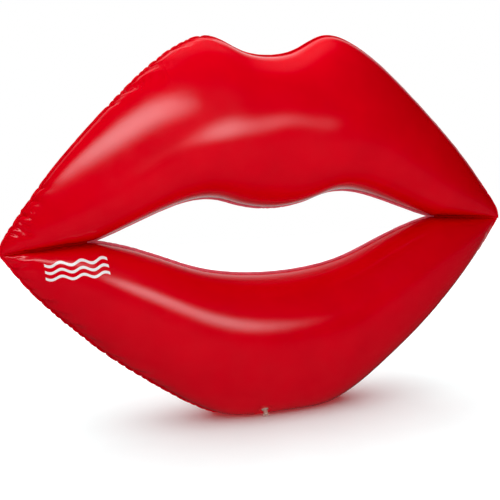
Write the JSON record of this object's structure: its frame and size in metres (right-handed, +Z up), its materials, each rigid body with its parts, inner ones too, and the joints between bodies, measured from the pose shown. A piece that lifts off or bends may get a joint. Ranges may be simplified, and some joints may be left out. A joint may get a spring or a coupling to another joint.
{
  "type": "inflatable pool float",
  "caption": "Inflatable pool float shaped like a pair of lips, two welded air chambers round an open mouth, each with a stem valve and tethered plug.",
  "frame": {"origin": "on the floor, under the middle of the float's box", "axes": "+X to the right seen from the front, along the float's width; +Y to the back, through its thickness; +Z up, from the lower lip to the upper lip"},
  "size_m": [1.8234, 0.4304, 1.2719],
  "materials": {
    "vinyl": "satin",
    "clear_pvc": "gloss"
  },
  "bodies": {
    "float": {"upper_lip_front_panel": "vinyl", "upper_lip_back_panel": "vinyl", "lower_lip_front_panel": "vinyl", "lower_lip_back_panel": "vinyl", "upper_valve_flange": "clear_pvc", "upper_valve_skirt": "clear_pvc", "lower_valve_flange": "clear_pvc", "lower_valve_skirt": "clear_pvc"},
    "upper_valve_stem": {"upper_valve_stem": "clear_pvc", "upper_valve_tether": "clear_pvc"},
    "upper_valve_plug": {"upper_valve_plug": "clear_pvc"},
    "upper_valve_flap": {"upper_valve_flap": "clear_pvc"},
    "lower_valve_stem": {"lower_valve_stem": "clear_pvc", "lower_valve_tether": "clear_pvc"},
    "lower_valve_plug": {"lower_valve_plug": "clear_pvc"},
    "lower_valve_flap": {"lower_valve_flap": "clear_pvc"}
  },
  "joints": [
    {"name": "upper_valve_stem_push", "type": "slide", "parent": "float", "child": "upper_valve_stem", "axis": [0.0081, -0.8645, -0.5025], "range_m": [0, 0.018], "deforming": ["upper_valve_skirt"]},
    {"name": "upper_valve_plug_pull", "type": "slide", "parent": "upper_valve_stem", "child": "upper_valve_plug", "axis": [-0.0081, 0.8645, 0.5025], "range_m": [0, 0.01], "deforming": ["upper_valve_tether"]},
    {"name": "upper_valve_flap_swing", "type": "hinge", "parent": "upper_valve_stem", "child": "upper_valve_flap", "pos_m": [-0.02852, 0.17439, 1.08522], "axis": [1, 0.007, 0.0041], "range_deg": [0, 60], "stiffness_Nm_per_rad": 0.0005},
    {"name": "lower_valve_stem_push", "type": "slide", "parent": "float", "child": "lower_valve_stem", "axis": [0.0513, 0.6571, 0.7521], "range_m": [0, 0.018], "deforming": ["lower_valve_skirt"]},
    {"name": "lower_valve_plug_pull", "type": "slide", "parent": "lower_valve_stem", "child": "lower_valve_plug", "axis": [-0.0513, -0.6571, -0.7521], "range_m": [0, 0.01], "deforming": ["lower_valve_tether"]},
    {"name": "lower_valve_flap_swing", "type": "hinge", "parent": "lower_valve_stem", "child": "lower_valve_flap", "pos_m": [-0.08315, -0.1064, 0.03267], "axis": [0.9987, -0.0338, -0.0387], "range_deg": [0, 60], "stiffness_Nm_per_rad": 0.0005}
  ]
}
